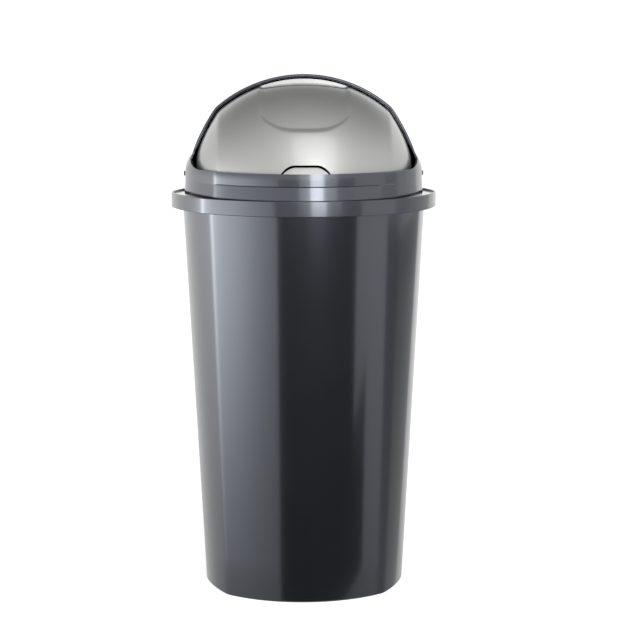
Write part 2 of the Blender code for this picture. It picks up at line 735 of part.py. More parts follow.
def make_pin(name, side, parts):
    """A push-in pin: domed head outside, plain shank through both bosses, thicker snap tip inside."""
    seat = PIN_CLEARANCE
    shank = FLAP_EAR_INSET + FLAP_WALL + EAR_BOSS_IN + PIN_CLEARANCE
    tip_slope = PIN_TIP_RADIUS - PIN_RADIUS
    profile = [
        (0, seat + PIN_HEAD_HEIGHT),
        (PIN_HEAD_RADIUS / 2, seat + PIN_HEAD_HEIGHT * PIN_HEAD_SHOULDER_SHARE),
        (PIN_HEAD_RADIUS - PIN_HEAD_EDGE, seat + PIN_HEAD_HEIGHT / 2),
        (PIN_HEAD_RADIUS, seat + PIN_HEAD_EDGE),
        (PIN_HEAD_RADIUS, seat),
        (PIN_RADIUS, seat),
        (PIN_RADIUS, -shank),
        (PIN_TIP_RADIUS, -shank),
        (PIN_TIP_RADIUS, -shank - tip_slope),
        (PIN_RADIUS - tip_slope, -shank - PIN_TIP_LENGTH),
        (0, -shank - PIN_TIP_LENGTH),
    ]
    mesh = bpy.data.meshes.new(name)
    mesh.from_pydata([(x, 0, z) for x, z in profile], [(i, i + 1) for i in range(len(profile) - 1)], [])
    pin = add_object(name, mesh, parts, PIN_PLASTIC, (side * side_face_x(), 0, AXIS_HEIGHT))
    pin.rotation_euler = (0, side * pi / 2, 0)
    screw = pin.modifiers.new("turn", "SCREW")
    screw.steps = ROUND_STEPS
    screw.render_steps = ROUND_STEPS
    screw.use_merge_vertices = True
    screw.merge_threshold = MERGE_DISTANCE
    return pin


def main():
    for old in list(bpy.data.objects):
        bpy.data.objects.remove(old)
    parts = bpy.data.collections.new("swing_lid_bin")
    tools = bpy.data.collections.new("cutters")
    bpy.context.scene.collection.children.link(parts)
    bpy.context.scene.collection.children.link(tools)
    holes = add_tool("pivot_holes", mesh_from("pivot_holes", pivot_holes), tools)
    make_bucket(parts)
    make_hood(parts, tools, holes)
    make_flap(parts, tools, holes)
    make_pin("pivot_pin_left", -1, parts)
    make_pin("pivot_pin_right", 1, parts)


main()
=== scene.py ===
"""Looks of the swing lid bin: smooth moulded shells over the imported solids, a pale floor and studio light.

The origin is the centre of the base, +Z is up and the flap faces -Y. The hood, the flap and the pins are
built about the pivot axis, which runs along X, and then lifted to its height.
"""
from collections import namedtuple
from math import acos, asin, atan2, copysign, cos, hypot, pi, radians, sin, sqrt
import bmesh
import bpy
from mathutils import Matrix, Vector


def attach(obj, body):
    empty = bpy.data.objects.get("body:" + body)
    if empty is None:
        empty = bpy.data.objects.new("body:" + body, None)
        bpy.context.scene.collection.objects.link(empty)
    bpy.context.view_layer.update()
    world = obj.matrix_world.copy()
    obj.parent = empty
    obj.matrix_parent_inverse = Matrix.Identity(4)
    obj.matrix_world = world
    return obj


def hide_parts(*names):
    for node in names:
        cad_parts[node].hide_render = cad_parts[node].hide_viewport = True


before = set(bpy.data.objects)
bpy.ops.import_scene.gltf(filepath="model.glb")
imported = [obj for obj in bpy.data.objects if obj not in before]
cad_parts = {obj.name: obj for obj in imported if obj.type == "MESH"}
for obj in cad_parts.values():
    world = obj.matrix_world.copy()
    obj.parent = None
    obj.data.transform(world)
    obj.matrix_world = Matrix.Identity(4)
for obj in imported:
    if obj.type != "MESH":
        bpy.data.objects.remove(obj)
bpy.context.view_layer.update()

# Plan of the bucket's top, to its sharp corners before they are rounded. The base is smaller by the
# taper, the rim band larger by the spread, and the hood smaller by the inset, with a flatter side. In
# front, the band low on the collar stands proud of the hood
Plan = namedtuple("Plan", "half_width half_depth crease_x crease_y side_radius")
TOP_PLAN = Plan(0.1772, 0.1463, 0.1330, 0.0973, 0.2200)
TAPER = Plan(0.0291, 0.0208, 0.0186, 0.0106, 0)
RIM_SPREAD = Plan(0.0168, 0.0079, 0.0111, 0.0038, 0)
HOOD_INSET = Plan(0.0069, 0.0039, 0.0052, 0.0029, -0.0550)
BAND_PROUD = Plan(0, 0.0021, 0, 0, 0)
CREASE_ROUND = 0.0050
SIDE_CORNER_ROUND = 0.0140

# Bucket heights and walls
SHELF_HEIGHT = 0.5680
BODY_WALL = 0.0025
FLOOR_THICKNESS = 0.0030
FOOT_WIDTH = 0.0080
FOOT_ROUND = 0.0026
BASE_RISE = 0.0050
RIM_WALL = 0.0025
RIM_ABOVE_SHELF = 0.0142
RIM_BELOW_SHELF = 0.0075

# Hood
AXIS_ABOVE_SHELF = 0.0406
HOOD_WALL = 0.0025
HOOD_FLARE = 0.0010
COLLAR_ABOVE_AXIS = 0.0100
STEP_BELOW_AXIS = 0.0071
STEP_BEVEL = 0.0012
STEP_SUPPORT = 0.0004
OPENING_CORNER_RADIUS = 0.0600
COLLAR_SPREAD = 0.0037
SHOULDER_LOW = 0.0180
SHOULDER_RISE = 0.0160
BEAD_EXTRA = 0.0020
BEAD_WIDTH = 0.0050
BEAD_MOST_SHARE = 0.5
BEAD_RISE_SHARE = 0.5
BEAD_HEIGHT = 0.0028
BEAD_FADE_SHARE = 0.9
BEAD_MARGIN = 0.0002
BRIM_BELOW_RIM = 0.0025
BRIM_WALL = 0.0025
BRIM_CLEARANCE = 0.0010
PLUG_DEPTH = 0.0120
PLUG_CLEARANCE = 0.0010
SEAT_GAP = 0.0003
BRIM_TOP = -AXIS_ABOVE_SHELF + RIM_ABOVE_SHELF - BRIM_BELOW_RIM

# Flap
FLAP_WALL = 0.0022
FLAP_GAP = 0.0021
EAR_INSET = 0.0173
EAR_ROUND = 0.0040
LOW_ANGLE = radians(-2)
ARCH_ANGLE = radians(90)
FLAP_TRAVEL = radians(80)

# Push recess
RECESS_HALF_WIDTH = 0.0660
RECESS_WALL_WIDTH = 0.0100
RECESS_DEPTH_AT_ARCH = 0.0060
RECESS_SIDE_DEPTH_AT_ARCH = 0.0033
RECESS_DEPTH_AT_LIP = 0.0030
RECESS_EDGE_STRIP = 0.0034
RECESS_BACK_DRAFT = 0.0010
LIP_ANGLE = radians(28.5)
LIP_WIDTH_ANGLE = radians(4.5)
LIP_CLIMB_ANGLE = radians(16)
LIP_POWER = 3.2

# Finger pull
PULL_HALF_WIDTH = 0.0345
PULL_SHOULDER_X = 0.0255
PULL_TOP_HALF_WIDTH = 0.0150
PULL_HEIGHT = 0.0117
PULL_BELOW_COLLAR = 0.0066
PULL_SLOT = 0.0033
PULL_SIDE_DRAFT = 0.0003
TONGUE_LEAN = 0.0040
TONGUE_SET_BACK = 0.0010

# Pins, bosses and stops
PIN_RADIUS = 0.0027
PIN_HEAD_RADIUS = 0.0038
PIN_HEAD_HEIGHT = 0.0014
PIN_HEAD_EDGE = 0.0004
PIN_TIP_RADIUS = 0.0035
PIN_TIP_LENGTH = 0.0040
PIN_CLEARANCE = 0.0003
HOOD_BOSS_RADIUS = 0.0080
EAR_BOSS_RADIUS = 0.0090
EAR_BOSS_OUT = 0.0010
EAR_BOSS_IN = 0.0020
SIDE_PLAY = 0.0010
STOP_X = 0.0300
STOP_LENGTH = 0.0060
STOP_THICKNESS = 0.0020
STOP_REACH = 0.0075
STOP_GAP = 0.0005

# Steps along the curves. The crowding draws the side's points together towards its middle
FRONT_STEPS = 44
CREASE_STEPS = 8
SIDE_STEPS = 26
SIDE_CROWDING = 1.5
CORNER_STEPS = 8
ROUND_STEPS = 64
WALL_STEPS = 10
ROUND_EDGE_STEPS = 8
COLLAR_STEPS = 5
BEAD_ROUND_STEPS = 28
DOME_STEPS = 60
PULL_STEPS = 16
RECESS_WALL_STEPS = 12
EAR_STEPS = 12
LOWER_STEPS = 22
LIP_STEPS = 12
RECESS_STEPS = 24
TONGUE_STEPS = 6
HEAD_STEPS = 8

# Small rounds on sharp edges: their widths, their segments, and the angle from which an edge is sharp
BUCKET_EDGE_ROUND = 0.0009
HOOD_EDGE_ROUND = 0.0007
FLAP_EDGE_ROUND = 0.0005
BOSS_EDGE_ROUND = 0.0004
PIN_EDGE_ROUND = 0.0002
EDGE_SEGMENTS = 3
SMALL_EDGE_SEGMENTS = 2
SHARP_ANGLE = radians(32)
PIN_SHARP_ANGLE = radians(40)

# How near two columns, two angles or two points may be
COLUMN_SPACE = 0.0008
COLUMN_MATCH = 0.00001
TONGUE_LEAST = 0.0001
ANGLE_MATCH = radians(0.01)
POINT_DIGITS = 7

# Plastics. The grain is the strength of the bump, and the fleck the share by which the colour varies
DARK_PLASTIC = {"colour": (0.060, 0.067, 0.082), "roughness": 0.19, "metallic": 0.90,
                "coat": 1.00, "coat_roughness": 0.09, "grain": 0.05, "fleck": 0.06}
SILVER_PLASTIC = {"colour": (0.41, 0.41, 0.405), "roughness": 0.42, "metallic": 0.80,
                  "coat": 1.00, "coat_roughness": 0.14, "grain": 0.05, "fleck": 0.05}
PIN_PLASTIC = {"colour": (0.040, 0.042, 0.048), "roughness": 0.40, "metallic": 0.0,
               "coat": 0.0, "coat_roughness": 0.10, "grain": 0.08, "fleck": 0.10}
ROUGHNESS_SWING = 0.1
FLECK_SCALE = 1400
FLECK_DETAIL = 2
SLOW_SCALE = 9
SLOW_DETAIL = 1
GRAIN_SCALE = 700
GRAIN_DETAIL = 2
GRAIN_HEIGHT = 0.0001

# Floor, and the light that whitens it for the camera
FLOOR_REACH = 40.0
FLOOR_COLOUR = (0.80, 0.80, 0.80)
FLOOR_ROUGHNESS = 0.9
FLOOR_WHITENING = 0.62

# Upright cards: name, grey, the two ends on the floor plan, and the heights of the lower and upper edge
CARDS = (
    ("black_card", 0.10, ((-0.88, -2.20), (3.00, -2.20)), (-1.40, -0.60)),
    ("dark_card", 0.14, ((-0.88, -2.20), (2.04, -2.20)), (-0.60, -0.30)),
    ("dim_card", 0.19, ((-0.88, -2.20), (2.04, -2.20)), (-0.30, 0.22)),
    ("grey_card", 0.90, ((-0.88, -2.20), (2.04, -2.20)), (0.22, 0.50)),
    ("side_card", 0.42, ((2.20, -0.75), (2.20, 2.60)), (-1.40, 0.18)),
    ("upper_side_card", 0.95, ((2.20, -0.75), (2.20, 2.00)), (0.18, 0.60)),
)
CARD_ROUGHNESS = 1

# Softboxes: name, place, target, size and watts
SOFTBOXES = (
    ("front_softbox", (0.37, -2.00, 0.73), (0, 0, 0.62), (0.40, 0.74), 5.9),
    ("wide_softbox", (0.42, -2.06, 0.73), (0, 0, 0.62), (1.20, 0.74), 3.2),
    ("upper_softbox", (0.37, -2.02, 1.90), (0, 0, 0.62), (1.60, 1.45), 10.9),
)

# World. Pairs of ends are heights, or places from front to back, of a direction of length 1. The level
# falls overhead, more so behind than in front, and a share of it is left below
WORLD_LEVEL = 1.05
OVERHEAD_ENDS = (0.25, 0.70)
REAR_ENDS = (-1.0, 0.6)
FRONT_DIMMING = 0.10
REAR_DIMMING = 0.82
BELOW_ENDS = (-0.45, -0.12)
BELOW_SHARE = 0.45

# Glow of the world on the left, and its narrow core. An azimuth is measured from the front to the right,
# and a higher power makes a narrower glow
KEY_AZIMUTH = radians(-75)
KEY_POWER = 5.0
KEY_LEVEL = 3.0
KEY_BELOW_ENDS = (-0.38, -0.15)
KEY_BELOW_SHARE = 0.10
CORE_AZIMUTH = radians(-90)
CORE_POWER = 60.0
CORE_LEVEL = 7.0
GLOW_TOP_ENDS = (-0.14, 0.03)

# Camera, with its lens and sensor in millimetres
CAMERA_LENS = 99.71
CAMERA_SENSOR = 36
CAMERA_PLACE = (-0.05558, -2.54947, 0.828)
CAMERA_TURN = (radians(80.39), 0, radians(-1.68))

AXIS_HEIGHT = SHELF_HEIGHT + AXIS_ABOVE_SHELF


def moved_plan(plan, by, sign=1):
    """A plan with each of its sizes moved by the given amounts, outwards or inwards."""
    return Plan(*(size + sign * change for size, change in zip(plan, by)))


BASE_PLAN = moved_plan(TOP_PLAN, TAPER, -1)
RIM_PLAN = moved_plan(TOP_PLAN, RIM_SPREAD)
HOOD_PLAN = moved_plan(TOP_PLAN, HOOD_INSET, -1)
BAND_PLAN = moved_plan(HOOD_PLAN, BAND_PROUD)


def blend(start, end, share):
    return start + (end - start) * share


def smooth(share):
    """A share held between 0 and 1 and eased at both ends."""
    clear = min(max(share, 0), 1)
    return clear * clear * (3 - 2 * clear)


def corner_curve(start, corner, end, steps, share=1):
    """Points after start along a curve that rounds the corner, or along a share of that curve."""
    points = []
    for step in range(1, steps + 1):
        t = share * step / steps
        weights = ((1 - t) ** 2, 2 * t * (1 - t), t ** 2)
        points.append(tuple(weights[0] * a + weights[1] * b + weights[2] * c
                            for a, b, c in zip(start, corner, end)))
    return points


def front_radius(plan):
    """The radius of the arc that runs across a plan's front."""
    rise = plan.half_depth - plan.crease_y
    return (plan.crease_x ** 2 + rise ** 2) / (2 * rise)


def front_end_angle(plan):
    radius = front_radius(plan)
    return asin(plan.crease_x / radius) - CREASE_ROUND / radius


def front_arc(plan, angles):
    radius = front_radius(plan)
    return [(radius * sin(angle), plan.half_depth - radius + radius * cos(angle)) for angle in angles]


def side_arc(plan):
    """Points on the flatter arc from the crease to the middle of the side."""
    crease = Vector((plan.crease_x, plan.crease_y))
    corner = Vector((plan.half_width, 0))
    chord = corner - crease
    inward = Vector((chord.y, -chord.x)).normalized()
    radius = plan.side_radius
    centre = (crease + corner) / 2 + inward * sqrt(radius ** 2 - (chord.length / 2) ** 2)
    start = atan2(crease.y - centre.y, crease.x - centre.x) - CREASE_ROUND / radius
    end = atan2(corner.y - centre.y, corner.x - centre.x) + SIDE_CORNER_ROUND / radius
    shares = [1 - (1 - step / SIDE_STEPS) ** SIDE_CROWDING for step in range(SIDE_STEPS + 1)]
    angles = [blend(start, end, share) for share in shares]
    return [(centre.x + radius * cos(angle), centre.y + radius * sin(angle)) for angle in angles]


def quarter_outline(plan, front_angles=None):
    """A quarter of a plan, from the middle of its front to the middle of its side."""
    if front_angles is None:
        end = front_end_angle(plan)
        front_angles = [end * step / FRONT_STEPS for step in range(FRONT_STEPS + 1)]
    front = front_arc(plan, front_angles)
    side = side_arc(plan)
    crease = corner_curve(front[-1], (plan.crease_x, plan.crease_y), side[0], CREASE_STEPS)
    corner = corner_curve(side[-1], (plan.half_width, 0), (side[-1][0], -side[-1][1]), CORNER_STEPS, 0.5)
    return front + crease + side[1:] + corner


def offset_outline(points, distance):
    """A quarter outline moved outwards by a distance that may differ from point to point."""
    moved = []
    for index, point in enumerate(points):
        here = Vector(point)
        before = Vector(points[index - 1]) if index > 0 else Vector((-points[1][0], points[1][1]))
        last = index == len(points) - 1
        after = Vector((points[-2][0], -points[-2][1])) if last else Vector(points[index + 1])
        first_side, second_side = (here - before).normalized(), (after - here).normalized()
        normal = Vector((-first_side.y - second_side.y, first_side.x + second_side.x))
        normal = normal / (1 + first_side.dot(second_side))
        step = distance[index] if isinstance(distance, list) else distance
        moved.append((here.x + normal.x * step, here.y + normal.y * step))
    moved[0] = (0, moved[0][1])
    moved[-1] = (moved[-1][0], 0)
    return moved


def mix_points(first, second, share):
    return tuple(blend(a, b, share) for a, b in zip(first, second))


def mix_outlines(first, second, share):
    return [mix_points(a, b, share) for a, b in zip(first, second)]


def across(quarter):
    """Half an outline, from the left side round the front to the right side."""
    return [(-x, y) for x, y in reversed(quarter)] + list(quarter[1:])


def value_at(line, x):
    """The second value of a line of points where their first value is x."""
    return next(blend(a[1], b[1], (x - a[0]) / (b[0] - a[0])) for a, b in zip(line, line[1:]) if b[0] >= x)


class Skin:
    """Collects faces for one mesh, sharing each corner that several faces use."""

    def __init__(self):
        self.points = []
        self.faces = []
        self.known = {}

    def corner(self, point):
        key = tuple(round(value, POINT_DIGITS) for value in point)
        if key not in self.known:
            self.known[key] = len(self.points)
            self.points.append(key)
        return self.known[key]

    def face(self, points):
        corners = []
        for point in points:
            corner = self.corner(point)
            if corner not in corners:
                corners.append(corner)
        if len(corners) > 2:
            self.faces.append(corners)

    def rows(self, rows):
        """Joins rows of points that each run the same way."""
        for low, high in zip(rows, rows[1:]):
            for index in range(len(low) - 1):
                self.face((low[index], low[index + 1], high[index + 1], high[index]))

    def mesh(self, name):
        mesh = bpy.data.meshes.new(name)
        mesh.from_pydata(self.points, [], self.faces)
        edited = bmesh.new()
        edited.from_mesh(mesh)
        bmesh.ops.recalc_face_normals(edited, faces=edited.faces)
        edited.to_mesh(mesh)
        edited.free()
        return mesh


def add_piece(name, mesh, body, node, finish, lift=AXIS_HEIGHT):
    """Links a finished mesh as a piece that moves with its body and may stand for a node."""
    piece = bpy.data.objects.new(name, mesh)
    bpy.context.scene.collection.objects.link(piece)
    mesh.transform(Matrix.Translation((0, 0, lift)))
    mesh.materials.clear()
    mesh.materials.append(finish)
    mesh.shade_smooth()
    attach(piece, body)
    if node:
        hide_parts(node)


def rounded(mesh, width, segments=EDGE_SEGMENTS, angle=SHARP_ANGLE, wall=None):
    """The mesh after an optional wall and a small round on every sharp edge."""
    worker = bpy.data.objects.new("worker", mesh)
    bpy.context.scene.collection.objects.link(worker)
    mesh.shade_smooth()
    if wall:
        solid = worker.modifiers.new("wall", "SOLIDIFY")
        solid.thickness = wall
        solid.offset = -1
        solid.use_even_offset = True
    bevel = worker.modifiers.new("edges", "BEVEL")
    bevel.limit_method = "ANGLE"
    bevel.angle_limit = angle
    bevel.width = width
    bevel.segments = segments
    bevel.miter_outer = "MITER_ARC"
    bevel.harden_normals = True
    graph = bpy.context.evaluated_depsgraph_get()
    result = bpy.data.meshes.new_from_object(worker.evaluated_get(graph))
    bpy.data.objects.remove(worker)
    return result


def ring(quarter, height):
    """A closed level row, whose last point repeats its first."""
    front = [(x, -y, height) for x, y in across(quarter)]
    back = [(x, y, height) for x, y in reversed(across(quarter))]
    return front + back[1:]


def bucket_mesh():
    """Foot, tapered wall, shelf, rim band, mouth, inner wall and floor, as one closed skin."""
    top, base, rim = (quarter_outline(plan) for plan in (TOP_PLAN, BASE_PLAN, RIM_PLAN))
    rim_inner = offset_outline(rim, -RIM_WALL)
    mouth = offset_outline(top, -BODY_WALL)
    under_shelf = SHELF_HEIGHT - RIM_WALL
    rim_low = SHELF_HEIGHT - RIM_BELOW_SHELF
    rim_high = SHELF_HEIGHT + RIM_ABOVE_SHELF
    floor = BASE_RISE + FLOOR_THICKNESS
    foot_inner = offset_outline(base, -FOOT_WIDTH)
    rows = [ring(offset_outline(foot_inner, -BASE_RISE), BASE_RISE), ring(foot_inner, 0)]
    for step in range(ROUND_EDGE_STEPS + 1):
        turn = pi / 2 * step / ROUND_EDGE_STEPS
        height = FOOT_ROUND * (1 - cos(turn))
        level = mix_outlines(base, top, height / SHELF_HEIGHT)
        rows.append(ring(offset_outline(level, FOOT_ROUND * (sin(turn) - 1)), height))
    for step in range(1, WALL_STEPS):
        height = blend(FOOT_ROUND, under_shelf, step / WALL_STEPS)
        rows.append(ring(mix_outlines(base, top, height / SHELF_HEIGHT), height))
    rows += [
        ring(top, under_shelf),
        ring(rim_inner, under_shelf),
        ring(rim_inner, rim_low),
        ring(rim, rim_low),
        ring(rim, rim_high),
        ring(rim_inner, rim_high),
        ring(rim_inner, SHELF_HEIGHT),
        ring(mouth, SHELF_HEIGHT),
    ]
    for step in range(1, WALL_STEPS + 1):
        height = blend(SHELF_HEIGHT, floor, step / WALL_STEPS)
        level = mix_outlines(base, top, height / SHELF_HEIGHT)
        rows.append(ring(offset_outline(level, -BODY_WALL), height))
    skin = Skin()
    skin.rows(rows)
    skin.face(rows[0])
    skin.face(rows[-1])
    return rounded(skin.mesh("bin_shell"), BUCKET_EDGE_ROUND)


def opening_angles(radius):
    """Where a circle about the axis meets the opening: its front angle and its back angle."""
    corner_y = OPENING_CORNER_RADIUS
    corner_z = COLLAR_ABOVE_AXIS + OPENING_CORNER_RADIUS
    reach = hypot(corner_y, corner_z)
    lean = atan2(corner_z, corner_y)
    swing = 0
    if reach - OPENING_CORNER_RADIUS < radius < reach + OPENING_CORNER_RADIUS:
        swing = acos((radius ** 2 + reach ** 2 - OPENING_CORNER_RADIUS ** 2) / (2 * radius * reach))
    front, back = lean - swing, pi - lean - swing
    if radius > hypot(COLLAR_ABOVE_AXIS, OPENING_CORNER_RADIUS):
        front = asin(COLLAR_ABOVE_AXIS / radius)
    if radius > corner_z:
        back = pi / 2
    return front, back


def opening_tip():
    """How near the opening's corner comes to the axis."""
    corner_z = COLLAR_ABOVE_AXIS + OPENING_CORNER_RADIUS
    return hypot(OPENING_CORNER_RADIUS, corner_z) - OPENING_CORNER_RADIUS


def level_row(profile, height, side):
    return [(x, side * radius, height) for x, radius in profile]


def turned_row(profile, angles, side):
    """A row of the dome: each point is turned about the axis, up from level, by its own angle."""
    return [(x, side * radius * cos(angle), radius * sin(angle))
            for (x, radius), angle in zip(profile, angles)]


def hood_outlines(side):
    """Quarter outlines of the hood's front (side -1) or rear (side 1)."""
    dome = quarter_outline(HOOD_PLAN)
    band = quarter_outline(BAND_PLAN) if side < 0 else dome
    return {
        "dome": dome,
        "band": band,
        "foot": offset_outline(band, HOOD_FLARE),
        "plug": offset_outline(quarter_outline(TOP_PLAN), -BODY_WALL - PLUG_CLEARANCE),
        "skirt": offset_outline(quarter_outline(RIM_PLAN), -RIM_WALL - BRIM_CLEARANCE),
    }


def hood_rows(side, outlines, inset, ends, steps):
    """Rows of one skin of the hood on one side, from its foot up to the end angle of each column."""
    profiles = {name: across(offset_outline(outline, -inset)) for name, outline in outlines.items()}
    step_low = -STEP_BELOW_AXIS - STEP_BEVEL
    near_step = [mix_points(foot, band, 1 - STEP_SUPPORT / (step_low - BRIM_TOP))
                 for foot, band in zip(profiles["foot"], profiles["band"])]
    rows = [
        level_row(profiles["foot"], BRIM_TOP, side),
        level_row(near_step, step_low - STEP_SUPPORT, side),
        level_row(profiles["band"], step_low, side),
        level_row(profiles["dome"], -STEP_BELOW_AXIS, side),
        level_row(profiles["dome"], -STEP_BELOW_AXIS + STEP_SUPPORT, side),
    ]
    for step in range(steps + 1):
        rows.append(turned_row(profiles["dome"], [end * step / steps for end in ends], side))
    return rows


def strip_start(ends, radii, width):
    """The angle of each column at which a strip of the given width begins, just before its end angle."""
    return [end - min(width / max(radius, width), end * BEAD_MOST_SHARE)
            for end, radius in zip(ends, radii)]


def bead_rows(dome, ends, radii):
    """The last rows of the dome's inner skin, which stand inwards as a bead along the arch."""
    tip = opening_tip()
    rise = tip * BEAD_RISE_SHARE
    insets = [-HOOD_WALL - BEAD_EXTRA * smooth((radius - tip) / rise) for _, radius in dome]
    thick = across(offset_outline(dome, insets))
    return [turned_row(thick, strip_start(ends, radii, BEAD_WIDTH), 1), turned_row(thick, ends, 1)]


def spread(point):
    """A point of the hood, moved out sideways on the collar, which is wider than the dome."""
    x, y, z = point
    out = smooth((abs(x) - HOOD_PLAN.crease_x) / (HOOD_PLAN.half_width - HOOD_PLAN.crease_x))
    out *= 1 - smooth((z - SHOULDER_LOW) / SHOULDER_RISE)
    return (x + copysign(COLLAR_SPREAD * out, x), y, z)


def seat_rows(side, outlines, inner_foot, outer_foot):
    """Rows from the inner skin down round the plug, the brim and its skirt, and up to the outer skin."""
    plug = across(outlines["plug"])
    plug_inner = across(offset_outline(outlines["plug"], -HOOD_WALL))
    skirt = across(outlines["skirt"])
    skirt_inner = across(offset_outline(outlines["skirt"], -BRIM_WALL))
    plug_low = -AXIS_ABOVE_SHELF - PLUG_DEPTH
    skirt_low = -AXIS_ABOVE_SHELF + SEAT_GAP
    return [
        inner_foot,
        level_row(plug_inner, BRIM_TOP, side),
        level_row(plug_inner, plug_low, side),
        level_row(plug, plug_low, side),
        level_row(plug, BRIM_TOP - BRIM_WALL, side),
        level_row(skirt_inner, BRIM_TOP - BRIM_WALL, side),
        level_row(skirt_inner, skirt_low, side),
        level_row(skirt, skirt_low, side),
        level_row(skirt, BRIM_TOP, side),
        outer_foot,
    ]


def arch_bead_mesh():
    """The rounded front of the bead along the arch: a flat tube, half sunk into the opening's edge."""
    outline = across(quarter_outline(HOOD_PLAN))
    radii = [radius for _, radius in outline]
    ends = [opening_angles(radius)[1] for radius in radii]
    outer = [spread(point) for point in turned_row(outline, ends, 1)]
    inner = [spread(point) for point in bead_rows(quarter_outline(HOOD_PLAN), ends, radii)[1]]
    tip = opening_tip()
    middles, reaches, heights = [], [], []
    for high, low, radius in zip(outer, inner, radii):
        if radius >= tip:
            reach = (Vector(high) - Vector(low)) / 2
            middles.append((Vector(high) + Vector(low)) / 2)
            reaches.append(reach * (1 - BEAD_MARGIN / reach.length))
            heights.append(BEAD_HEIGHT * smooth((radius - tip) / (tip * BEAD_FADE_SHARE)))
    turns = [2 * pi * step / BEAD_ROUND_STEPS for step in range(BEAD_ROUND_STEPS + 1)]
    rows = []
    last = len(middles) - 1
    for place, (middle, reach, height) in enumerate(zip(middles, reaches, heights)):
        along = middles[min(place + 1, last)] - middles[max(place - 1, 0)]
        ahead = reach.cross(along).normalized() * height
        rows.append([tuple(middle + reach * cos(turn) + ahead * sin(turn)) for turn in turns])
    skin = Skin()
    skin.rows(rows)
    skin.face(rows[0][:-1])
    skin.face(rows[-1][:-1])
    return skin.mesh("arch_bead")


def hood_mesh():
    """Collar, fixed rear dome, arch bead, brim and the plug that enters the bucket's mouth.

    The two sides meet at the ends of the outline. Between first and last they stand apart round the
    opening, and an edge joins their outer and inner skins.
    """
    skin = Skin()
    radii = [radius for _, radius in across(quarter_outline(HOOD_PLAN))]
    fronts, backs = zip(*(opening_angles(radius) for radius in radii))
    meeting = [front + back >= pi - ANGLE_MATCH for front, back in zip(fronts, backs)]
    first = meeting.index(False) - 1
    last = len(radii) - first
    for side, ends, steps in ((-1, fronts, COLLAR_STEPS), (1, backs, DOME_STEPS)):
        outlines = hood_outlines(side)
        outer = hood_rows(side, outlines, 0, ends, steps)
        if side > 0:
            before_bead = strip_start(ends, radii, BEAD_WIDTH + 2 * BEAD_EXTRA)
            inner = hood_rows(side, outlines, HOOD_WALL, before_bead, steps)
            inner += bead_rows(outlines["dome"], ends, radii)
        else:
            inner = hood_rows(side, outlines, HOOD_WALL, ends, steps)
        outer = [[spread(point) for point in row] for row in outer]
        inner = [[spread(point) for point in row] for row in inner]
        skin.rows(outer)
        skin.rows(inner)
        skin.rows(seat_rows(side, outlines, inner[0], outer[0]))
        skin.rows([outer[-1][first:last], inner[-1][first:last]])
    return rounded(skin.mesh("hood_shell"), HOOD_EDGE_ROUND)


def pull_line(inset):
    """Heights over half widths along the right side of the D shape, drawn in by an inset."""
    side = PULL_HALF_WIDTH - inset
    top = COLLAR_ABOVE_AXIS + PULL_HEIGHT - inset
    low = (side - PULL_SIDE_DRAFT, COLLAR_ABOVE_AXIS)
    flat = (PULL_TOP_HALF_WIDTH - inset / 2, top)
    curve = corner_curve(low, (PULL_SHOULDER_X - inset, top), flat, PULL_STEPS)
    foot = COLLAR_ABOVE_AXIS - PULL_BELOW_COLLAR
    return [(0, top)] + list(reversed(curve)) + [low, (side, foot)]


def height_on(line, x):
    """The height of a line of points at a distance from the middle."""
    if x >= line[-1][0]:
        return line[-1][1]
    return value_at(line, x)


def flap_columns():
    """The flap's quarter profile as half widths and radii, with columns on the recess and the pull."""
    inset = HOOD_WALL + BEAD_EXTRA + FLAP_GAP
    radius = front_radius(HOOD_PLAN) - inset
    centre = HOOD_PLAN.half_depth - front_radius(HOOD_PLAN)
    outer_line, tongue_line = pull_line(0), pull_line(PULL_SLOT)
    fixed = [x for x, _ in outer_line] + [x for x, _ in tongue_line[-2:]]
    recess_inner = RECESS_HALF_WIDTH - RECESS_WALL_WIDTH
    fixed += [recess_inner + RECESS_WALL_WIDTH * step / RECESS_WALL_STEPS
              for step in range(RECESS_WALL_STEPS + 1)]
    end_x = radius * sin(front_end_angle(HOOD_PLAN))
    even = [end_x * step / FRONT_STEPS for step in range(1, FRONT_STEPS)]
    xs = sorted(fixed + [x for x in even if min(abs(x - mark) for mark in fixed) > COLUMN_SPACE])
    profile = [(x, centre + sqrt(radius ** 2 - x ** 2)) for x in xs]
    outline = offset_outline(quarter_outline(HOOD_PLAN), -inset)
    profile += [point for point in outline if point[0] > xs[-1] + COLUMN_SPACE]
    ear = ear_x()
    kept = [point for point in profile if point[0] < ear - EAR_ROUND / 2]
    corner = (ear, value_at(profile, ear))
    after = (ear, corner[1] - EAR_ROUND)
    kept += corner_curve(kept[-1], corner, after, CORNER_STEPS)
    hub = EAR_BOSS_RADIUS / 2
    kept += [(ear, blend(after[1], hub, step / EAR_STEPS)) for step in range(1, EAR_STEPS + 1)]
    return kept


def lip_angle(x):
    """The angle of the recess's lower lip, which climbs towards its sides."""
    share = min(abs(x) / RECESS_HALF_WIDTH, 1)
    return LIP_ANGLE + LIP_CLIMB_ANGLE * share ** LIP_POWER


def recess_depth(x, height_share):
    """Depth of the recess floor under the flap's own curve, from the lip (0) to the arch (1)."""
    inner = RECESS_HALF_WIDTH - RECESS_WALL_WIDTH
    wall = smooth((RECESS_HALF_WIDTH - abs(x)) / RECESS_WALL_WIDTH)
    sideways = min(abs(x) / inner, 1) ** 2
    at_arch = blend(RECESS_DEPTH_AT_ARCH, RECESS_SIDE_DEPTH_AT_ARCH, sideways)
    at_lip = RECESS_DEPTH_AT_LIP * at_arch / RECESS_DEPTH_AT_ARCH
    return wall * blend(at_lip, at_arch, height_share)


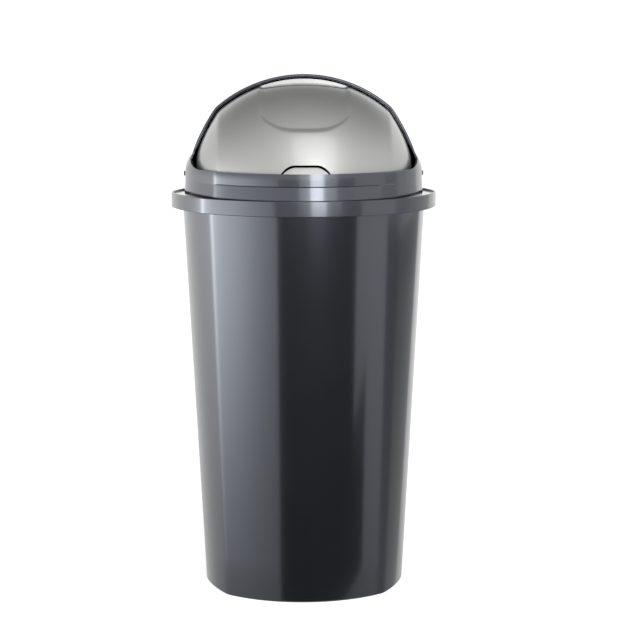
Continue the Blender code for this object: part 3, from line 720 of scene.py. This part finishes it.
def flap_mesh():
    """The visor with its ears, push recess, D-shaped cut and tongue, given a wall and rounded edges."""
    profile = across(flap_columns())
    outer_line, tongue_line = pull_line(0), pull_line(PULL_SLOT)
    middle_radius = profile[len(profile) // 2][1]
    foot_angle = asin((COLLAR_ABOVE_AXIS - PULL_BELOW_COLLAR) / middle_radius)
    bend_share = (foot_angle - LOW_ANGLE) / (LIP_ANGLE - LOW_ANGLE)
    strip_angle = ARCH_ANGLE - RECESS_EDGE_STRIP / HOOD_PLAN.half_depth
    floor_end = strip_angle - RECESS_BACK_DRAFT / HOOD_PLAN.half_depth

    def row(angle_at, depth_at):
        points = []
        for x, radius in profile:
            pressed = radius - depth_at(x)
            angle = angle_at(x, radius)
            points.append((x, -pressed * cos(angle), pressed * sin(angle)))
        return points

    def bend_angle(x):
        return blend(LOW_ANGLE, lip_angle(x), bend_share)

    def cut_angle(x, radius):
        if abs(x) >= PULL_HALF_WIDTH - COLUMN_MATCH:
            return bend_angle(x)
        return asin(height_on(outer_line, abs(x)) / radius)

    def flush(x):
        return 0

    skin = Skin()
    skin.rows([row(lambda x, r: blend(LOW_ANGLE, bend_angle(x), share), flush) for share in (0, 0.5, 1)])
    rows = []
    for step in range(LOWER_STEPS):
        share = step / LOWER_STEPS
        rows.append(row(lambda x, r: blend(cut_angle(x, r), lip_angle(x), share), flush))
    for step in range(LIP_STEPS):
        share = step / LIP_STEPS
        rows.append(row(lambda x, r: lip_angle(x) + LIP_WIDTH_ANGLE * share,
                        lambda x: recess_depth(x, 0) * smooth(share)))
    for step in range(RECESS_STEPS + 1):
        share = step / RECESS_STEPS
        rows.append(row(lambda x, r: blend(lip_angle(x) + LIP_WIDTH_ANGLE, floor_end, share),
                        lambda x: recess_depth(x, share)))
    rows.append(row(lambda x, r: strip_angle, flush))
    rows.append(row(lambda x, r: ARCH_ANGLE, flush))
    skin.rows(rows)

    columns = [(x, radius) for x, radius in profile if abs(x) <= tongue_line[-1][0] + COLUMN_MATCH]
    reach = tongue_line[0][1]
    tongue = []
    for step in range(TONGUE_STEPS + 1):
        points = []
        for x, radius in columns:
            low = radius * sin(bend_angle(x))
            high = height_on(tongue_line, abs(x))
            height = blend(low, max(high, low + TONGUE_LEAST), step / TONGUE_STEPS)
            lean = (TONGUE_LEAN + TONGUE_SET_BACK) * (height - low) / (reach - low)
            points.append((x, lean - radius * cos(asin(height / radius)), height))
        tongue.append(points)
    skin.rows(tongue)
    return rounded(skin.mesh("flap_visor"), FLAP_EDGE_ROUND, wall=FLAP_WALL)


def turned_mesh(name, profile, closed):
    """A mesh turned about the X axis from points of distance along X and radius, which may form a loop."""
    skin = Skin()
    loop = profile + profile[:1] if closed else profile
    rows = []
    for step in range(ROUND_STEPS + 1):
        turn = 2 * pi * step / ROUND_STEPS
        rows.append([(x, radius * cos(turn), radius * sin(turn)) for x, radius in loop])
    skin.rows(rows)
    return skin.mesh(name)


def side_face_x():
    """The collar's half width at the pivot axis."""
    return spread((quarter_outline(HOOD_PLAN)[-1][0], 0, 0))[0]


def ear_x():
    return side_face_x() - EAR_INSET


def boss_mesh(name, side, radius, start, end):
    """A round boss with a bore for the pin."""
    bore = PIN_RADIUS + PIN_CLEARANCE
    profile = [(side * start, bore), (side * start, radius), (side * end, radius), (side * end, bore)]
    return rounded(turned_mesh(name, profile, True), BOSS_EDGE_ROUND, SMALL_EDGE_SEGMENTS)


def pin_mesh(side):
    """A pin with a domed head outside and a thicker snap tip inside."""
    face = side_face_x()
    seat = face + PIN_CLEARANCE
    shank = face - (EAR_INSET + FLAP_WALL + EAR_BOSS_IN + PIN_CLEARANCE)
    slope = PIN_TIP_RADIUS - PIN_RADIUS
    profile = []
    for step in range(HEAD_STEPS + 1):
        turn = pi / 2 * step / HEAD_STEPS
        out = seat + PIN_HEAD_EDGE + (PIN_HEAD_HEIGHT - PIN_HEAD_EDGE) * cos(turn)
        profile.append((out, PIN_HEAD_RADIUS * sin(turn)))
    profile += [
        (seat, PIN_HEAD_RADIUS),
        (seat, PIN_RADIUS),
        (shank, PIN_RADIUS),
        (shank, PIN_TIP_RADIUS),
        (shank - slope, PIN_TIP_RADIUS),
        (shank - PIN_TIP_LENGTH, PIN_RADIUS - slope),
        (shank - PIN_TIP_LENGTH, 0),
    ]
    mesh = turned_mesh("pin", [(side * x, radius) for x, radius in profile], False)
    return rounded(mesh, PIN_EDGE_ROUND, SMALL_EDGE_SEGMENTS, PIN_SHARP_ANGLE)


def stop_mesh(x, angle):
    """One stop rib inside the hood."""
    outer = value_at(quarter_outline(HOOD_PLAN), STOP_X) - HOOD_WALL / 2
    middle = outer - STOP_REACH / 2
    clear = (STOP_THICKNESS / 2 + STOP_GAP) / middle
    turn = angle - clear if angle < 0 else angle + clear
    edited = bmesh.new()
    place = Matrix.Rotation(-turn, 4, "X") @ Matrix.Translation((x, -middle, 0))
    size = Matrix.Diagonal((STOP_LENGTH, STOP_REACH, STOP_THICKNESS, 1))
    bmesh.ops.create_cube(edited, size=1, matrix=place @ size)
    mesh = bpy.data.meshes.new("stop_rib")
    edited.to_mesh(mesh)
    edited.free()
    return rounded(mesh, BOSS_EDGE_ROUND, SMALL_EDGE_SEGMENTS)


def plastic(name, colour, roughness, metallic, coat, coat_roughness, grain, fleck):
    """A moulded plastic: fine flecks in its colour, a slowly changing gloss and a faint grain."""
    made = bpy.data.materials.new(name)
    made.use_nodes = True
    nodes, links = made.node_tree.nodes, made.node_tree.links
    shader = nodes["Principled BSDF"]
    shader.inputs["Metallic"].default_value = metallic
    shader.inputs["Coat Weight"].default_value = coat
    shader.inputs["Coat Roughness"].default_value = coat_roughness
    place = nodes.new("ShaderNodeTexCoord")

    def noise(scale, detail):
        texture = nodes.new("ShaderNodeTexNoise")
        texture.inputs["Scale"].default_value = scale
        texture.inputs["Detail"].default_value = detail
        links.new(place.outputs["Object"], texture.inputs["Vector"])
        return texture.outputs["Fac"]

    def ramp(value, low, high):
        mapped = nodes.new("ShaderNodeMapRange")
        mapped.inputs["To Min"].default_value = low
        mapped.inputs["To Max"].default_value = high
        links.new(value, mapped.inputs["Value"])
        return mapped.outputs["Result"]

    flecks = noise(FLECK_SCALE, FLECK_DETAIL)
    slow = noise(SLOW_SCALE, SLOW_DETAIL)
    tint = nodes.new("ShaderNodeMix")
    tint.data_type = "RGBA"
    tint.inputs["A"].default_value = (*[c * (1 - fleck) for c in colour], 1)
    tint.inputs["B"].default_value = (*[min(c * (1 + fleck), 1) for c in colour], 1)
    links.new(flecks, tint.inputs["Factor"])
    links.new(tint.outputs["Result"], shader.inputs["Base Color"])
    gloss = ramp(slow, roughness * (1 - ROUGHNESS_SWING), roughness * (1 + ROUGHNESS_SWING))
    links.new(gloss, shader.inputs["Roughness"])
    bump = nodes.new("ShaderNodeBump")
    bump.inputs["Strength"].default_value = grain
    bump.inputs["Distance"].default_value = GRAIN_HEIGHT
    links.new(noise(GRAIN_SCALE, GRAIN_DETAIL), bump.inputs["Height"])
    links.new(bump.outputs["Normal"], shader.inputs["Normal"])
    return made


def build_softbox(name, place, target, size, power):
    """A softbox that faces a target and that the camera doesn't see."""
    light = bpy.data.lights.new(name, "AREA")
    light.shape = "RECTANGLE"
    light.size, light.size_y = size
    light.energy = power
    lamp = bpy.data.objects.new(name, light)
    bpy.context.scene.collection.objects.link(lamp)
    lamp.location = place
    lamp.rotation_euler = (Vector(target) - Vector(place)).to_track_quat("-Z", "Y").to_euler()
    lamp.visible_camera = False


def build_pieces():
    dark = plastic("dark_plastic", **DARK_PLASTIC)
    silver = plastic("silver_plastic", **SILVER_PLASTIC)
    pin = plastic("pin_plastic", **PIN_PLASTIC)
    add_piece("bin_shell", bucket_mesh(), "bin", "bin_body", dark, 0)
    add_piece("hood_shell", hood_mesh(), "lid", "lid_hood", dark)
    add_piece("flap_visor", flap_mesh(), "flap", "swing_flap", silver)
    add_piece("arch_bead", arch_bead_mesh(), "lid", None, dark)
    ear_face = ear_x() + EAR_BOSS_OUT
    ear_end = ear_x() - FLAP_WALL - EAR_BOSS_IN
    hood_face = side_face_x() - HOOD_WALL / 2
    for side, word in ((-1, "left"), (1, "right")):
        boss = boss_mesh(f"hood_boss_{word}", side, HOOD_BOSS_RADIUS, ear_face + SIDE_PLAY, hood_face)
        add_piece(f"hood_boss_{word}", boss, "lid", None, dark)
        boss = boss_mesh(f"ear_boss_{word}", side, EAR_BOSS_RADIUS, ear_face, ear_end)
        add_piece(f"ear_boss_{word}", boss, "flap", None, silver)
        node = f"pivot_pin_{word}"
        add_piece(f"pivot_pin_head_{word}", pin_mesh(side), "lid", node, pin)
        for angle, end in ((LOW_ANGLE, "front"), (ARCH_ANGLE + FLAP_TRAVEL, "rear")):
            rib = stop_mesh(side * STOP_X, angle)
            add_piece(f"stop_rib_{end}_{word}", rib, "lid", None, dark)


def stage_object(name, corners, material):
    """A flat piece of the studio, which isn't part of the bin."""
    mesh = bpy.data.meshes.new(name)
    mesh.from_pydata(corners, [], [(0, 1, 2, 3)])
    mesh.materials.append(material)
    made = bpy.data.objects.new(name, mesh)
    bpy.context.scene.collection.objects.link(made)
    return made


def build_floor():
    """A pale floor, whitened for the camera, which keeps the bin's shadow. Reflections leave it out."""
    paint = bpy.data.materials.new("floor_paint")
    paint.use_nodes = True
    nodes, links = paint.node_tree.nodes, paint.node_tree.links
    shader = nodes["Principled BSDF"]
    shader.inputs["Base Color"].default_value = (*FLOOR_COLOUR, 1)
    shader.inputs["Roughness"].default_value = FLOOR_ROUGHNESS
    shader.inputs["Specular IOR Level"].default_value = 0
    glow = nodes.new("ShaderNodeEmission")
    both = nodes.new("ShaderNodeAddShader")
    path = nodes.new("ShaderNodeLightPath")
    seen = nodes.new("ShaderNodeMath")
    seen.operation = "MAXIMUM"
    mirrored = nodes.new("ShaderNodeMath")
    mirrored.operation = "MAXIMUM"
    links.new(path.outputs["Is Glossy Ray"], mirrored.inputs[0])
    links.new(path.outputs["Is Transmission Ray"], mirrored.inputs[1])
    links.new(path.outputs["Is Camera Ray"], seen.inputs[0])
    links.new(mirrored.outputs["Value"], seen.inputs[1])
    strength = nodes.new("ShaderNodeMath")
    strength.operation = "MULTIPLY"
    strength.inputs[1].default_value = FLOOR_WHITENING
    links.new(seen.outputs["Value"], strength.inputs[0])
    links.new(strength.outputs["Value"], glow.inputs["Strength"])
    links.new(shader.outputs["BSDF"], both.inputs[0])
    links.new(glow.outputs["Emission"], both.inputs[1])
    links.new(both.outputs["Shader"], nodes["Material Output"].inputs["Surface"])
    reach = FLOOR_REACH
    corners = [(-reach, -reach, 0), (reach, -reach, 0), (reach, reach, 0), (-reach, reach, 0)]
    floor = stage_object("floor", corners, paint)
    floor.visible_glossy = False


def build_card(name, grey, ends, heights):
    """An upright card over a line on the floor plan. Only reflections see it."""
    paper = bpy.data.materials.new(name)
    paper.use_nodes = True
    shader = paper.node_tree.nodes["Principled BSDF"]
    shader.inputs["Base Color"].default_value = (grey, grey, grey, 1)
    shader.inputs["Roughness"].default_value = CARD_ROUGHNESS
    shader.inputs["Specular IOR Level"].default_value = 0
    (start, end), (low, high) = ends, heights
    card = stage_object(name, [(*start, low), (*end, low), (*end, high), (*start, high)], paper)
    card.visible_camera = card.visible_diffuse = card.visible_shadow = False


def build_world():
    """A white studio, bright at eye level, dimmer overhead and below, brightest low on the left."""
    world = bpy.data.worlds.new("studio")
    bpy.context.scene.world = world
    world.use_nodes = True
    nodes, links = world.node_tree.nodes, world.node_tree.links
    place = nodes.new("ShaderNodeTexCoord")
    apart = nodes.new("ShaderNodeSeparateXYZ")
    links.new(place.outputs["Generated"], apart.inputs["Vector"])

    def ramp(value, ends, low, high):
        mapped = nodes.new("ShaderNodeMapRange")
        mapped.interpolation_type = "SMOOTHSTEP"
        mapped.inputs["From Min"].default_value = ends[0]
        mapped.inputs["From Max"].default_value = ends[1]
        mapped.inputs["To Min"].default_value = low
        mapped.inputs["To Max"].default_value = high
        links.new(value, mapped.inputs["Value"])
        return mapped.outputs["Result"]

    def combine(operation, first, second):
        node = nodes.new("ShaderNodeMath")
        node.operation = operation
        for value, socket in ((first, node.inputs[0]), (second, node.inputs[1])):
            if isinstance(value, float):
                socket.default_value = value
            else:
                links.new(value, socket)
        return node.outputs["Value"]

    def glow(azimuth, power, level):
        towards = nodes.new("ShaderNodeVectorMath")
        towards.operation = "DOT_PRODUCT"
        towards.inputs[1].default_value = (sin(azimuth), -cos(azimuth), 0)
        links.new(place.outputs["Generated"], towards.inputs[0])
        narrow = combine("POWER", combine("MAXIMUM", towards.outputs["Value"], 0.0), power)
        below_top = ramp(height, GLOW_TOP_ENDS, 1.0, 0.0)
        return combine("MULTIPLY", combine("MULTIPLY", narrow, level), below_top)

    height = apart.outputs["Z"]
    dimming = combine("MULTIPLY", ramp(height, OVERHEAD_ENDS, 0.0, 1.0),
                      ramp(apart.outputs["Y"], REAR_ENDS, FRONT_DIMMING, REAR_DIMMING))
    level = combine("MULTIPLY", combine("SUBTRACT", WORLD_LEVEL, dimming),
                    ramp(height, BELOW_ENDS, BELOW_SHARE, 1.0))
    key = combine("MULTIPLY", glow(KEY_AZIMUTH, KEY_POWER, KEY_LEVEL),
                  ramp(height, KEY_BELOW_ENDS, KEY_BELOW_SHARE, 1.0))
    core = glow(CORE_AZIMUTH, CORE_POWER, CORE_LEVEL)
    total = combine("ADD", combine("ADD", level, key), core)
    links.new(total, nodes["Background"].inputs["Strength"])
    nodes["Background"].inputs["Color"].default_value = (1, 1, 1, 1)


def build_light():
    """The world, the cards and the softboxes."""
    build_world()
    for card in CARDS:
        build_card(*card)
    for softbox in SOFTBOXES:
        build_softbox(*softbox)


def build_camera():
    camera = bpy.data.cameras.new("camera")
    camera.lens = CAMERA_LENS
    camera.sensor_width = CAMERA_SENSOR
    eye = bpy.data.objects.new("camera", camera)
    bpy.context.scene.collection.objects.link(eye)
    eye.location = CAMERA_PLACE
    eye.rotation_euler = CAMERA_TURN
    bpy.context.scene.camera = eye


bpy.context.scene.view_settings.view_transform = "Standard"
build_camera()
build_pieces()
build_floor()
build_light()
